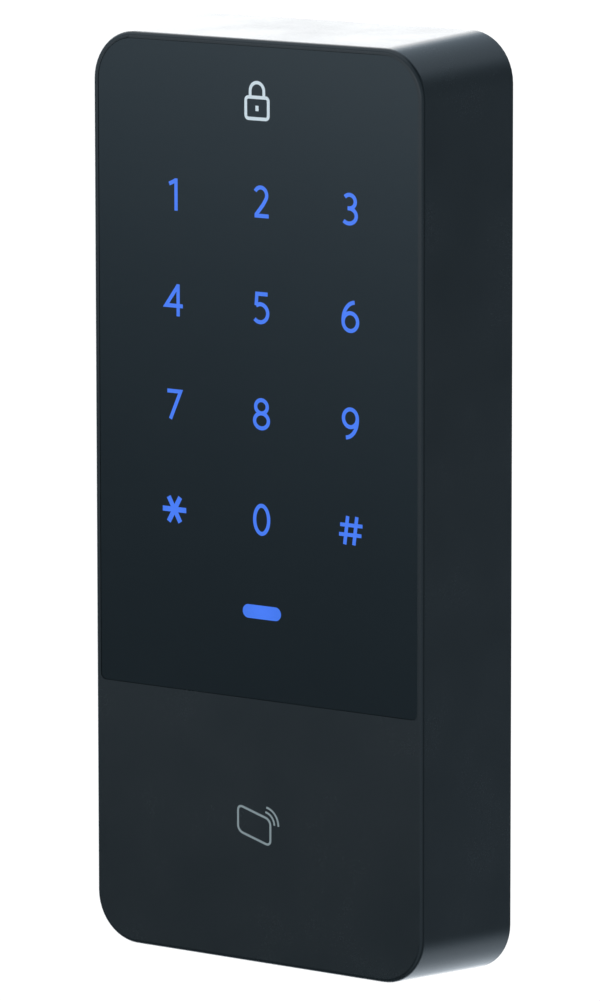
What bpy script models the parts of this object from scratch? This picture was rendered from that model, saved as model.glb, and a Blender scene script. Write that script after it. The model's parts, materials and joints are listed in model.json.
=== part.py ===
"""A wall-mounted keypad access reader: touch panel above, contactless card area below.

Metres, +Z up, +X to the right of somebody facing the reader. The front looks along -Y and the wall is
the plane Y = 0. The origin is the middle of the wall bracket's back face. Places along Y are written as
a depth behind the front face, and y_at() turns a depth into a Y coordinate.
"""

import math

import bmesh
import bpy
from mathutils import Matrix, Vector

MM = 0.001

# Outer form: a drafted case that is wider at the wall than at the front.
DEPTH = 26.1 * MM
FRONT_WIDTH = 75.0 * MM
FRONT_HEIGHT = 170.9 * MM
CORNER_RADIUS = 9.2 * MM
DRAFT = 1.45 * MM
FRONT_EDGE_RADIUS = 0.8 * MM
CASE_REAR = DEPTH - 0.3 * MM
CONTACT_GAP = 0.3 * MM

# Touch panel, let into the front face.
RIM = 1.2 * MM
PANEL_GAP = 0.2 * MM
PANEL_BOTTOM = -35.8 * MM
PANEL_FRONT = 0.1 * MM
PANEL_BACK = 1.9 * MM
PANEL_FOOT_RADIUS = 1.2 * MM
RECESS_FLOOR = 2.9 * MM
LEDGE_BACK = 4.9 * MM

# Key field on the panel.
KEY_LABELS = ("1", "2", "3", "4", "5", "6", "7", "8", "9", "star", "0", "hash")
KEY_PITCH_X = 20.1 * MM
KEY_PITCH_Z = 19.5 * MM
KEY_CENTRE_X = 1.0 * MM
TOP_KEY_Z = 55.9 * MM
INDICATOR_Z = -19.8 * MM

# Light window behind the keys.
WINDOW_WIDTH = 58.0 * MM
WINDOW_TOP = 66.0 * MM
WINDOW_BOTTOM = -28.0 * MM

# Hollow of the case, and the wider rebate that takes the rear cover.
HOLLOW_HALF_WIDTH = 35.1 * MM
HOLLOW_HALF_HEIGHT = 83.0 * MM
HOLLOW_RADIUS = 7.0 * MM
CARD_WALL = 2.4 * MM
CARD_HOLLOW_TOP = -37.6 * MM
REBATE_HALF_WIDTH = 36.6 * MM
REBATE_HALF_HEIGHT = 84.5 * MM
REBATE_RADIUS = 8.4 * MM
REBATE_FLOOR = 17.9 * MM

# Layers, from front to wall, as depths behind the front face.
FILM_LAYER = (2.2 * MM, 2.5 * MM)
ADHESIVE_LAYER = (2.2 * MM, 2.6 * MM)
BAFFLE_LAYER = (2.8 * MM, 6.8 * MM)
LIGHT_PIPE_LAYER = (2.8 * MM, 4.7 * MM)
LED_LAYER = (5.0 * MM, 6.8 * MM)
KEYPAD_BOARD_LAYER = (7.1 * MM, 8.7 * MM)
MAIN_BOARD_LAYER = (13.0 * MM, 14.6 * MM)
ANTENNA_COIL_LAYER = (2.7 * MM, 3.1 * MM)
ANTENNA_BOARD_LAYER = (3.4 * MM, 4.4 * MM)
FERRITE_LAYER = (4.7 * MM, 5.2 * MM)
GASKET_LAYER = (18.2 * MM, 18.8 * MM)
REAR_COVER_LAYER = (19.1 * MM, 21.1 * MM)
BRACKET_LAYER = (24.6 * MM, DEPTH)

# Keypad board, main board and card antenna, seen from the front.
KEYPAD_BOARD_HALF_WIDTH = 34.0 * MM
KEYPAD_BOARD_Z = (-30.5 * MM, 69.0 * MM)
MAIN_BOARD_HALF_WIDTH = 27.0 * MM
MAIN_BOARD_Z = (-70.0 * MM, 79.0 * MM)
ANTENNA_Z = -58.3 * MM
ANTENNA_SIZE = (50.0 * MM, 36.0 * MM)

# Screws.
KEYPAD_SCREW_X = 31.6 * MM
KEYPAD_SCREW_Z = (-25.5 * MM, 62.0 * MM)
KEYPAD_BOSS_RADIUS = 2.2 * MM
MAIN_SCREW_X = 23.0 * MM
MAIN_SCREW_Z = (-34.6 * MM, 75.0 * MM)
MAIN_BOSS_RADIUS = 2.4 * MM
REAR_SCREW_X = 31.2 * MM
REAR_SCREW_Z = (-77.4 * MM, -41.0 * MM, 77.4 * MM)
REAR_BOSS_RADIUS = 2.9 * MM

# Cable way through the rear cover and the bracket.
CABLE_Z = -20.0 * MM
CABLE_HOLE_RADIUS = 6.5 * MM
GROMMET_BORE_RADIUS = 3.7 * MM
BRACKET_WINDOW_Z = (-48.0 * MM, -6.0 * MM)
BRACKET_WINDOW_HALF_WIDTH = 14.0 * MM

# Tamper switch: its plunger stands this far past the wall plane until the wall pushes it in.
TAMPER_X = 22.0 * MM
TAMPER_Z = 40.0 * MM
TAMPER_TRAVEL = 1.5 * MM
TURRET_RADIUS = 4.2 * MM
TURRET_BORE_RADIUS = 3.1 * MM
TURRET_MOUTH_RADIUS = 2.2 * MM
TURRET_BACK = 24.8 * MM
TURRET_LIP = 1.0 * MM
PLUNGER_STEM_RADIUS = 1.1 * MM
PLUNGER_TIP_RADIUS = 1.8 * MM
PLUNGER_FLANGE_RADIUS = 2.7 * MM
PLUNGER_FLANGE = (22.4 * MM, 23.3 * MM)
SPRING_LAYER = (19.15 * MM, 22.05 * MM)
SPRING_RADIUS = 2.1 * MM
SPRING_WIRE = 0.3 * MM
SPRING_TURNS = 3.5
SWITCH_LAYER = (14.9 * MM, 18.8 * MM)

# Wall bracket.
BRACKET_HALF_WIDTH = 27.0 * MM
BRACKET_BOTTOM = -84.2 * MM
BRACKET_TOP = 71.2 * MM
BRACKET_GAUGE = 1.5 * MM
LIP_FRONT = 21.4 * MM
LIP_HALF_WIDTH = 9.0 * MM
TONGUE_X = 16.0 * MM
TONGUE_HALF_WIDTH = 4.0 * MM
TONGUE_GAUGE = 1.2 * MM
TONGUE_FRONT = 21.6 * MM
TONGUE_TOP = 76.0 * MM
SLOT_X = 15.0 * MM
SLOT_Z = (-62.0 * MM, 55.0 * MM)
SLOT_SIZE = (8.0 * MM, 4.4 * MM)
RIB_X = 20.6 * MM
RIB_WIDTH = 3.2 * MM
RIB_HEIGHT = 0.7 * MM
RIB_Z = (-50.0 * MM, 28.0 * MM)
LOCK_SCREW_DEPTH = 22.9 * MM

ROUND_STEPS = 24
SMALL_STEPS = 16


def y_at(depth):
    """The Y coordinate of a depth behind the front face."""
    return depth - DEPTH


def new_collection(name):
    """An empty collection in the scene."""
    collection = bpy.data.collections.new(name)
    bpy.context.scene.collection.children.link(collection)
    return collection


def clear_scene():
    """Removes whatever the scene holds."""
    for found in list(bpy.data.objects):
        bpy.data.objects.remove(found, do_unlink=True)


def material(name, colour, roughness, metallic=0.0):
    """A Principled material of one colour."""
    made = bpy.data.materials.new(name)
    made.use_nodes = True
    shader = made.node_tree.nodes["Principled BSDF"]
    shader.inputs["Base Color"].default_value = (*colour, 1.0)
    shader.inputs["Roughness"].default_value = roughness
    shader.inputs["Metallic"].default_value = metallic
    return made


def object_from_bmesh(name, shape):
    """An object in the parts collection that holds the bmesh's faces."""
    mesh = bpy.data.meshes.new(name)
    shape.to_mesh(mesh)
    shape.free()
    made = bpy.data.objects.new(name, mesh)
    PARTS.objects.link(made)
    return made


def paint(part, name):
    """Gives a part its material, and smooth shading with sharp corners kept."""
    part.data.materials.append(MATERIALS[name])
    if part.type == "MESH":
        part.data.shade_smooth()
        part.data.set_sharp_from_angle(angle=math.radians(35.0))
    return part


def as_helper(part):
    """Turns a part into a cutter or a piece to be joined, which isn't a part by itself."""
    PARTS.objects.unlink(part)
    HELPERS.objects.link(part)
    part.hide_render = True
    part.display_type = "WIRE"
    return part


def boolean(part, helper, operation):
    """Cuts a helper from a part, or joins it on."""
    step = part.modifiers.new(helper.name, "BOOLEAN")
    step.operation = operation
    step.solver = "EXACT"
    step.object = as_helper(helper)


def cut(part, *helpers):
    """Takes the helpers' shapes away from a part."""
    for helper in helpers:
        boolean(part, helper, "DIFFERENCE")


def join(part, *helpers):
    """Adds the helpers' shapes to a part."""
    for helper in helpers:
        boolean(part, helper, "UNION")


def block(name, across, layer, up):
    """A box given by its X range, its range of depths and its Z range."""
    low = Vector((across[0], y_at(layer[0]), up[0]))
    high = Vector((across[1], y_at(layer[1]), up[1]))
    shape = bmesh.new()
    bmesh.ops.create_cube(shape, size=1.0)
    bmesh.ops.scale(shape, vec=high - low, verts=shape.verts)
    bmesh.ops.translate(shape, vec=(low + high) / 2, verts=shape.verts)
    return object_from_bmesh(name, shape)


def centred(middle, size):
    """The range of that size around a middle."""
    return (middle - size / 2, middle + size / 2)


def runs_along_y(edge):
    """Whether an edge runs from front to back, whatever its draft."""
    run = edge.verts[1].co - edge.verts[0].co
    return abs(run.y) > 0.9 * run.length


def slab(name, across, layer, up, radius, steps=6, draft=0.0, front_radius=0.0):
    """A plate with rounded corners. Draft makes its back wider than its front, all round."""
    low = Vector((across[0], y_at(layer[0]), up[0]))
    high = Vector((across[1], y_at(layer[1]), up[1]))
    middle = (low + high) / 2
    shape = bmesh.new()
    bmesh.ops.create_cube(shape, size=1.0)
    bmesh.ops.scale(shape, vec=high - low, verts=shape.verts)
    for corner in shape.verts:
        if corner.co.y > 0.0:
            corner.co.x += math.copysign(draft, corner.co.x)
            corner.co.z += math.copysign(draft, corner.co.z)
    bmesh.ops.translate(shape, vec=middle, verts=shape.verts)
    corners = [edge for edge in shape.edges if runs_along_y(edge)]
    bmesh.ops.bevel(shape, geom=corners, offset=radius, segments=steps, profile=0.5, affect="EDGES")
    if front_radius:
        front = min(shape.faces, key=lambda face: face.calc_center_median().y)
        bmesh.ops.bevel(
            shape, geom=list(front.edges), offset=front_radius, segments=4, profile=0.5, affect="EDGES"
        )
    return object_from_bmesh(name, shape)


def peg(name, x, z, radius, layer, steps=ROUND_STEPS):
    """A cylinder that runs from front to back."""
    shape = bmesh.new()
    length = layer[1] - layer[0]
    bmesh.ops.create_cone(
        shape, cap_ends=True, segments=steps, radius1=radius, radius2=radius, depth=length
    )
    bmesh.ops.rotate(shape, matrix=Matrix.Rotation(math.pi / 2, 3, "X"), verts=shape.verts)
    bmesh.ops.translate(shape, vec=(x, y_at(layer[0] + length / 2), z), verts=shape.verts)
    return object_from_bmesh(name, shape)


def turned(name, profile, place, steps=SMALL_STEPS, closed=False, facing=-math.pi / 2):
    """A turned piece. Its profile is (radius, height) from top to bottom, and its axis looks to the wall."""
    shape = bmesh.new()
    points = [shape.verts.new((radius, 0.0, height)) for radius, height in profile]
    for first, second in zip(points, points[1:]):
        shape.edges.new((first, second))
    if closed:
        shape.edges.new((points[-1], points[0]))
    made = object_from_bmesh(name, shape)
    spin = made.modifiers.new("Turn", "SCREW")
    spin.axis = "Z"
    spin.steps = steps
    spin.render_steps = steps
    spin.use_merge_vertices = True
    spin.merge_threshold = 0.00001
    spin.use_smooth_shade = True
    made.location = place
    made.rotation_euler = (facing, 0.0, 0.0)
    return made


def pan_screw(name, place, head, shank, facing=-math.pi / 2):
    """A pan-head screw with a socket. Head and shank are (radius, length), from the head's underside."""
    socket_radius = 0.42 * head[0]
    socket_floor = 0.45 * head[1]
    profile = (
        (0.0, socket_floor),
        (socket_radius, socket_floor),
        (socket_radius, head[1]),
        (0.82 * head[0], head[1]),
        (head[0], 0.62 * head[1]),
        (head[0], 0.0),
        (shank[0], 0.0),
        (shank[0], -0.9 * shank[1]),
        (0.5 * shank[0], -shank[1]),
        (0.0, -shank[1]),
    )
    return paint(turned(name, profile, place, facing=facing), "screw_steel")


def key_places():
    """(label, x, z) of each key."""
    for index, label in enumerate(KEY_LABELS):
        row, column = divmod(index, 3)
        yield label, KEY_CENTRE_X + (column - 1) * KEY_PITCH_X, TOP_KEY_Z - row * KEY_PITCH_Z


def both_sides(x, heights):
    """(x, z) places on the left and right at each height."""
    return [(side * x, z) for z in heights for side in (-1, 1)]


def make_front_housing():
    """The case: rim, card area and drafted side walls in one moulding, open at the back."""
    half_width, half_height = FRONT_WIDTH / 2, FRONT_HEIGHT / 2
    housing = slab(
        "front_housing",
        (-half_width, half_width),
        (0.0, CASE_REAR),
        (-half_height, half_height),
        CORNER_RADIUS,
        steps=12,
        draft=DRAFT,
        front_radius=FRONT_EDGE_RADIUS,
    )
    across = (-HOLLOW_HALF_WIDTH, HOLLOW_HALF_WIDTH)
    key_hollow = slab(
        "key_hollow",
        across,
        (LEDGE_BACK, DEPTH),
        (CARD_HOLLOW_TOP - 20.0 * MM, HOLLOW_HALF_HEIGHT),
        HOLLOW_RADIUS,
    )
    card_hollow = slab(
        "card_hollow", across, (CARD_WALL, DEPTH), (-HOLLOW_HALF_HEIGHT, CARD_HOLLOW_TOP), HOLLOW_RADIUS
    )
    rebate = slab(
        "rebate",
        (-REBATE_HALF_WIDTH, REBATE_HALF_WIDTH),
        (REBATE_FLOOR, DEPTH + MM),
        (-REBATE_HALF_HEIGHT, REBATE_HALF_HEIGHT),
        REBATE_RADIUS,
    )
    window = slab(
        "window",
        centred(0.0, WINDOW_WIDTH),
        (-MM, LEDGE_BACK + MM),
        (WINDOW_BOTTOM, WINDOW_TOP),
        2.0 * MM,
        steps=3,
    )
    cut(housing, panel_recess(), key_hollow, card_hollow, rebate, window)
    for index, (x, z) in enumerate(both_sides(KEYPAD_SCREW_X, KEYPAD_SCREW_Z)):
        join(housing, peg(f"keypad_boss_{index}", x, z, KEYPAD_BOSS_RADIUS, (4.5 * MM, 6.8 * MM)))
        cut(housing, peg(f"keypad_pilot_{index}", x, z, 1.1 * MM, (4.2 * MM, 7.0 * MM), SMALL_STEPS))
    for index, (x, z) in enumerate(both_sides(MAIN_SCREW_X, MAIN_SCREW_Z)):
        join(housing, peg(f"main_boss_{index}", x, z, MAIN_BOSS_RADIUS, (4.5 * MM, 12.7 * MM)))
        cut(housing, peg(f"main_pilot_{index}", x, z, 1.3 * MM, (6.5 * MM, 13.0 * MM), SMALL_STEPS))
    for index, (x, z) in enumerate(both_sides(REAR_SCREW_X, REAR_SCREW_Z)):
        foot = 4.5 * MM if z > CARD_HOLLOW_TOP else 2.0 * MM
        join(housing, peg(f"rear_boss_{index}", x, z, REAR_BOSS_RADIUS, (foot, 18.8 * MM)))
        cut(housing, peg(f"rear_pilot_{index}", x, z, 1.4 * MM, (10.0 * MM, 19.0 * MM), SMALL_STEPS))
    cut(housing, *lock_screw_holes())
    return paint(housing, "case_plastic")


def panel_recess():
    """The pocket that the touch panel is let into, a little larger than the panel all round."""
    half_width = FRONT_WIDTH / 2 - RIM
    top = FRONT_HEIGHT / 2 - RIM
    return rounded_top_plate("panel_recess", half_width, PANEL_BOTTOM - PANEL_GAP, top, (-MM, RECESS_FLOOR))


def rounded_top_plate(name, half_width, bottom, top, layer):
    """A plate whose upper corners follow the case and whose lower corners are nearly square."""
    shape = bmesh.new()
    bmesh.ops.create_cube(shape, size=1.0)
    size = Vector((2 * half_width, layer[1] - layer[0], top - bottom))
    middle = Vector((0.0, y_at((layer[0] + layer[1]) / 2), (top + bottom) / 2))
    bmesh.ops.scale(shape, vec=size, verts=shape.verts)
    bmesh.ops.translate(shape, vec=middle, verts=shape.verts)
    upper_radius = CORNER_RADIUS - (FRONT_WIDTH / 2 - half_width)
    for radius, steps, is_upper in ((upper_radius, 12, True), (PANEL_FOOT_RADIUS, 4, False)):
        corners = [
            edge
            for edge in shape.edges
            if runs_along_y(edge)
            and (edge.verts[0].co.z > middle.z) == is_upper
            and abs(abs(edge.verts[0].co.x) - half_width) < 1e-7
            and min(abs(edge.verts[0].co.z - top), abs(edge.verts[0].co.z - bottom)) < 1e-7
        ]
        bmesh.ops.bevel(shape, geom=corners, offset=radius, segments=steps, profile=0.5, affect="EDGES")
    return object_from_bmesh(name, shape)


def make_touch_panel():
    """The glossy plate over the keys, its front nearly level with the rim."""
    half_width = FRONT_WIDTH / 2 - RIM - PANEL_GAP
    top = FRONT_HEIGHT / 2 - RIM - PANEL_GAP
    panel = rounded_top_plate("touch_panel", half_width, PANEL_BOTTOM, top, (PANEL_FRONT, PANEL_BACK))
    return paint(panel, "panel_gloss")


def make_panel_adhesive():
    """The frame of adhesive between the touch panel and the ledge around the light window."""
    half_width = FRONT_WIDTH / 2 - RIM - 0.8 * MM
    top = FRONT_HEIGHT / 2 - RIM - 0.8 * MM
    frame = rounded_top_plate("panel_adhesive", half_width, PANEL_BOTTOM + 0.6 * MM, top, ADHESIVE_LAYER)
    opening = slab(
        "adhesive_opening",
        centred(0.0, WINDOW_WIDTH + MM),
        (MM, 4.0 * MM),
        (WINDOW_BOTTOM - 0.5 * MM, WINDOW_TOP + 0.5 * MM),
        2.0 * MM,
        steps=3,
    )
    cut(frame, opening)
    return paint(frame, "adhesive_foam")


def make_touch_film():
    """The printed film with the clear touch pads, close behind the panel."""
    film = slab(
        "touch_film",
        centred(0.0, WINDOW_WIDTH - 0.6 * MM),
        FILM_LAYER,
        (WINDOW_BOTTOM + CONTACT_GAP, WINDOW_TOP - CONTACT_GAP),
        1.6 * MM,
        steps=3,
    )
    return paint(film, "film")


def make_light_baffle():
    """The moulded grid that keeps each key's light to itself, with a slot for the indicator."""
    baffle = slab(
        "light_baffle",
        centred(0.0, WINDOW_WIDTH - 0.6 * MM),
        BAFFLE_LAYER,
        (WINDOW_BOTTOM + CONTACT_GAP, WINDOW_TOP - CONTACT_GAP),
        1.6 * MM,
        steps=3,
    )
    through = (BAFFLE_LAYER[0] - MM, BAFFLE_LAYER[1] + MM)
    well = 13.0 * MM
    for label, x, z in key_places():
        cut(baffle, slab(f"well_{label}", centred(x, well), through, centred(z, well), 2.5 * MM, steps=3))
    slot = slab(
        "indicator_slot",
        centred(KEY_CENTRE_X, 12.0 * MM),
        through,
        centred(INDICATOR_Z, 5.0 * MM),
        1.5 * MM,
        steps=3,
    )
    cut(baffle, slot)
    return paint(baffle, "baffle_plastic")


def make_indicator_light_pipe():
    """The clear bar that spreads the status light."""
    pipe = slab(
        "indicator_light_pipe",
        centred(KEY_CENTRE_X, 11.4 * MM),
        LIGHT_PIPE_LAYER,
        centred(INDICATOR_Z, 4.4 * MM),
        1.3 * MM,
        steps=3,
    )
    return paint(pipe, "light_pipe")


def make_led(name, x, z):
    """A surface-mount LED with its round cup open to the front."""
    led = block(name, centred(x, 3.5 * MM), LED_LAYER, centred(z, 2.8 * MM))
    cut(led, peg(f"{name}_cup", x, z, 1.1 * MM, (LED_LAYER[0] - MM, LED_LAYER[0] + 0.5 * MM), 12))
    return paint(led, "led")


def make_leds():
    """One LED under each key and two under the status bar."""
    for label, x, z in key_places():
        make_led(f"key_led_{label}", x, z)
    for index, side in enumerate((-1, 1), start=1):
        make_led(f"indicator_led_{index}", KEY_CENTRE_X + side * 3.0 * MM, INDICATOR_Z)


def drilled_board(name, across, layer, up, holes, hole_radius):
    """A circuit board with rounded corners and screw holes."""
    board = slab(name, across, layer, up, 1.5 * MM, steps=3)
    through = (layer[0] - MM, layer[1] + MM)
    for index, (x, z) in enumerate(holes):
        cut(board, peg(f"{name}_hole_{index}", x, z, hole_radius, through, SMALL_STEPS))
    return paint(board, "circuit_board")


def package(name, x, z, size, layer, dot=True):
    """A chip in a flat package, with the round mark of its first contact."""
    chip = slab(name, centred(x, size[0]), layer, centred(z, size[1]), 0.25 * MM, steps=1)
    if dot:
        face = layer[1]
        place = (x - size[0] / 2 + 1.1 * MM, z + size[1] / 2 - 1.1 * MM)
        cut(chip, peg(f"{name}_mark", *place, 0.4 * MM, (face - 0.2 * MM, face + MM), 10))
    return paint(chip, "chip")


def connector(name, x, z, size, layer, opening, finish="connector_plastic"):
    """A plastic connector shell with a slot cut in from one side, given as a box."""
    shell = block(name, centred(x, size[0]), layer, centred(z, size[1]))
    cut(shell, block(f"{name}_slot", *opening))
    return paint(shell, finish)


def make_keypad_board():
    """The board behind the keys, its touch controller, and its half of the board connector."""
    holes = both_sides(KEYPAD_SCREW_X, KEYPAD_SCREW_Z)
    across = (-KEYPAD_BOARD_HALF_WIDTH, KEYPAD_BOARD_HALF_WIDTH)
    drilled_board("keypad_board", across, KEYPAD_BOARD_LAYER, KEYPAD_BOARD_Z, holes, 1.1 * MM)
    package("touch_controller", -12.0 * MM, 34.0 * MM, (6.0 * MM, 6.0 * MM), (9.0 * MM, 9.9 * MM))
    slot = (centred(0.0, 13.0 * MM), (9.9 * MM, 12.0 * MM), centred(14.0 * MM, 2.0 * MM))
    connector("board_socket", 0.0, 14.0 * MM, (16.0 * MM, 5.0 * MM), (9.0 * MM, 10.6 * MM), slot)
    for index, (x, z) in enumerate(holes, start=1):
        head_base = 9.0 * MM
        place = (x, y_at(head_base), z)
        pan_screw(f"keypad_board_screw_{index}", place, (1.7 * MM, 1.2 * MM), (0.8 * MM, 4.4 * MM))


def make_main_board():
    """The board that holds the processor, the card reader chip, the power parts and the wiring header."""
    holes = both_sides(MAIN_SCREW_X, MAIN_SCREW_Z)
    across = (-MAIN_BOARD_HALF_WIDTH, MAIN_BOARD_HALF_WIDTH)
    drilled_board("main_board", across, MAIN_BOARD_LAYER, MAIN_BOARD_Z, holes, 1.3 * MM)
    for index, (x, z) in enumerate(holes, start=1):
        place = (x, y_at(14.9 * MM), z)
        pan_screw(f"main_board_screw_{index}", place, (2.1 * MM, 1.5 * MM), (1.0 * MM, 6.8 * MM))
    rear_side = MAIN_BOARD_LAYER[1] + CONTACT_GAP
    front_side = MAIN_BOARD_LAYER[0] - CONTACT_GAP
    package("processor", -6.0 * MM, 30.0 * MM, (10.0 * MM, 10.0 * MM), (rear_side, rear_side + 1.2 * MM))
    package("card_reader_chip", 0.0, -50.0 * MM, (5.0 * MM, 5.0 * MM), (rear_side, rear_side + 0.9 * MM))
    package("line_driver", -14.0 * MM, 4.0 * MM, (5.0 * MM, 4.0 * MM), (rear_side, rear_side + 1.5 * MM))
    crystal_layer = (rear_side, rear_side + 0.8 * MM)
    crystal = package("clock_crystal", 5.0 * MM, 34.0 * MM, (3.2 * MM, 2.5 * MM), crystal_layer, dot=False)
    crystal.data.materials[0] = MATERIALS["screw_steel"]
    slot = (centred(0.0, 13.0 * MM), (10.0 * MM, 12.0 * MM), centred(14.0 * MM, 2.0 * MM))
    connector("board_header", 0.0, 14.0 * MM, (16.0 * MM, 5.0 * MM), (10.9 * MM, front_side), slot)
    wiring_slot = (centred(0.0, 20.0 * MM), (15.9 * MM, 17.6 * MM), (-38.0 * MM, -31.0 * MM))
    connector(
        "wiring_header",
        0.0,
        -33.0 * MM,
        (23.0 * MM, 7.0 * MM),
        (rear_side, rear_side + 3.6 * MM),
        wiring_slot,
        "header_plastic",
    )
    inductor = slab(
        "power_inductor",
        centred(14.0 * MM, 7.0 * MM),
        (front_side - 3.2 * MM, front_side),
        centred(-50.0 * MM, 7.0 * MM),
        1.6 * MM,
        steps=3,
    )
    paint(inductor, "ferrite")
    make_power_capacitor(front_side)
    make_buzzer(front_side)


def make_power_capacitor(foot):
    """A can capacitor that stands on the board's front side."""
    height = 5.6 * MM
    profile = (
        (0.0, height),
        (2.8 * MM, height),
        (3.15 * MM, height - 0.4 * MM),
        (3.15 * MM, 1.5 * MM),
        (2.9 * MM, 1.2 * MM),
        (3.15 * MM, 0.9 * MM),
        (3.15 * MM, 0.0),
        (0.0, 0.0),
    )
    place = (-16.0 * MM, y_at(foot), -49.0 * MM)
    return paint(turned("power_capacitor", profile, place, facing=math.pi / 2), "can_aluminium")


def make_buzzer(foot):
    """The sounder, with its mouth towards the card area."""
    height = 5.0 * MM
    profile = (
        (0.0, height - 1.2 * MM),
        (1.2 * MM, height - 1.2 * MM),
        (1.2 * MM, height),
        (5.2 * MM, height),
        (5.6 * MM, height - 0.4 * MM),
        (5.6 * MM, 0.0),
        (0.0, 0.0),
    )
    place = (0.0, y_at(foot), -62.0 * MM)
    return paint(turned("buzzer", profile, place, ROUND_STEPS, facing=math.pi / 2), "connector_plastic")


def make_card_antenna():
    """The coil that reads cards, its board, the ferrite behind it and its contacts to the main board."""
    width, height = ANTENNA_SIZE
    across, up = centred(0.0, width), centred(ANTENNA_Z, height)
    coil = slab(
        "antenna_coil",
        centred(0.0, width - 3.0 * MM),
        ANTENNA_COIL_LAYER,
        centred(ANTENNA_Z, height - 3.0 * MM),
        4.0 * MM,
    )
    inner = slab(
        "antenna_inner",
        centred(0.0, width - 14.0 * MM),
        (2.0 * MM, 4.0 * MM),
        centred(ANTENNA_Z, height - 14.0 * MM),
        2.0 * MM,
    )
    cut(coil, inner)
    paint(coil, "copper")
    paint(slab("antenna_board", across, ANTENNA_BOARD_LAYER, up, 1.5 * MM, steps=3), "circuit_board")
    sheet_up = (up[0] + MM, up[1] - 5.0 * MM)
    sheet = slab("ferrite_sheet", centred(0.0, width - 2.0 * MM), FERRITE_LAYER, sheet_up, MM, steps=2)
    paint(sheet, "ferrite")
    contacts = block(
        "antenna_header",
        centred(0.0, 7.6 * MM),
        (ANTENNA_BOARD_LAYER[1] + CONTACT_GAP, MAIN_BOARD_LAYER[0] - CONTACT_GAP),
        centred(up[1] - 2.4 * MM, 2.5 * MM),
    )
    paint(contacts, "connector_plastic")


def make_rear_gasket():
    """The seal between the case's inner ledge and the rear cover."""
    outer, inner = 0.2 * MM, 1.3 * MM
    gasket = slab(
        "rear_gasket",
        (-REBATE_HALF_WIDTH + outer, REBATE_HALF_WIDTH - outer),
        GASKET_LAYER,
        (-REBATE_HALF_HEIGHT + outer, REBATE_HALF_HEIGHT - outer),
        REBATE_RADIUS - outer,
    )
    middle = slab(
        "gasket_middle",
        (-REBATE_HALF_WIDTH + inner, REBATE_HALF_WIDTH - inner),
        (GASKET_LAYER[0] - MM, GASKET_LAYER[1] + MM),
        (-REBATE_HALF_HEIGHT + inner, REBATE_HALF_HEIGHT - inner),
        REBATE_RADIUS - inner,
    )
    cut(gasket, middle)
    return paint(gasket, "rubber")


def make_rear_cover():
    """The plate that closes the case, with the catches for the bracket and the tamper plunger's turret."""
    edge = CONTACT_GAP
    cover = slab(
        "rear_cover",
        (-REBATE_HALF_WIDTH + edge, REBATE_HALF_WIDTH - edge),
        REAR_COVER_LAYER,
        (-REBATE_HALF_HEIGHT + edge, REBATE_HALF_HEIGHT - edge),
        REBATE_RADIUS - edge,
    )
    through = (REAR_COVER_LAYER[0] - MM, REAR_COVER_LAYER[1] + MM)
    back = REAR_COVER_LAYER[1]
    join(cover, peg("turret", TAMPER_X, TAMPER_Z, TURRET_RADIUS, (back - MM, TURRET_BACK)))
    for index, side in enumerate((-1, 1)):
        across = centred(side * TONGUE_X, 2 * TONGUE_HALF_WIDTH + 3.0 * MM)
        join(
            cover,
            block(f"catch_leg_{index}", across, (back - MM, 24.3 * MM), (77.0 * MM, 78.6 * MM)),
            block(f"catch_lip_{index}", across, (23.1 * MM, 24.3 * MM), (72.2 * MM, 77.5 * MM)),
        )
    bore = (through[0], TURRET_BACK - TURRET_LIP)
    mouth = (TURRET_BACK - 2 * TURRET_LIP, TURRET_BACK + MM)
    cut(
        cover,
        peg("cable_hole", 0.0, CABLE_Z, CABLE_HOLE_RADIUS, through),
        peg("turret_bore", TAMPER_X, TAMPER_Z, TURRET_BORE_RADIUS, bore),
        peg("turret_mouth", TAMPER_X, TAMPER_Z, TURRET_MOUTH_RADIUS, mouth),
    )
    for index, (x, z) in enumerate(both_sides(REAR_SCREW_X, REAR_SCREW_Z)):
        cut(cover, peg(f"cover_hole_{index}", x, z, 1.5 * MM, through, SMALL_STEPS))
    return paint(cover, "cover_plastic")


def make_rear_screws():
    """The six screws that hold the rear cover to the case."""
    for index, (x, z) in enumerate(both_sides(REAR_SCREW_X, REAR_SCREW_Z), start=1):
        place = (x, y_at(REAR_COVER_LAYER[1] + CONTACT_GAP), z)
        pan_screw(f"rear_screw_{index}", place, (2.5 * MM, 1.6 * MM), (1.1 * MM, 9.5 * MM))


def make_cable_grommet():
    """The rubber ring in the rear cover that the wiring passes through."""
    flange, neck, bore = 8.2 * MM, 6.2 * MM, GROMMET_BORE_RADIUS
    rear_face = REAR_COVER_LAYER[1] + CONTACT_GAP
    front_face = REAR_COVER_LAYER[0] - CONTACT_GAP
    length = rear_face - front_face
    profile = (
        (bore, 1.2 * MM),
        (flange - 0.8 * MM, 1.2 * MM),
        (flange, 0.5 * MM),
        (flange, 0.0),
        (neck, 0.0),
        (neck, -length),
        (flange, -length),
        (flange, -length - 0.9 * MM),
        (bore, -length - 0.9 * MM),
    )
    grommet = turned(
        "cable_grommet", profile, (0.0, y_at(rear_face), CABLE_Z), ROUND_STEPS, closed=True
    )
    return paint(grommet, "rubber")


def make_tamper_switch():
    """The switch on the main board, with the bore that takes the plunger's stem."""
    size = 7.0 * MM
    body = block("tamper_switch", centred(TAMPER_X, size), SWITCH_LAYER, centred(TAMPER_Z, size))
    cut(body, peg("stem_bore", TAMPER_X, TAMPER_Z, 1.4 * MM, (15.6 * MM, 20.0 * MM), SMALL_STEPS))
    return paint(body, "connector_plastic")


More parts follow.
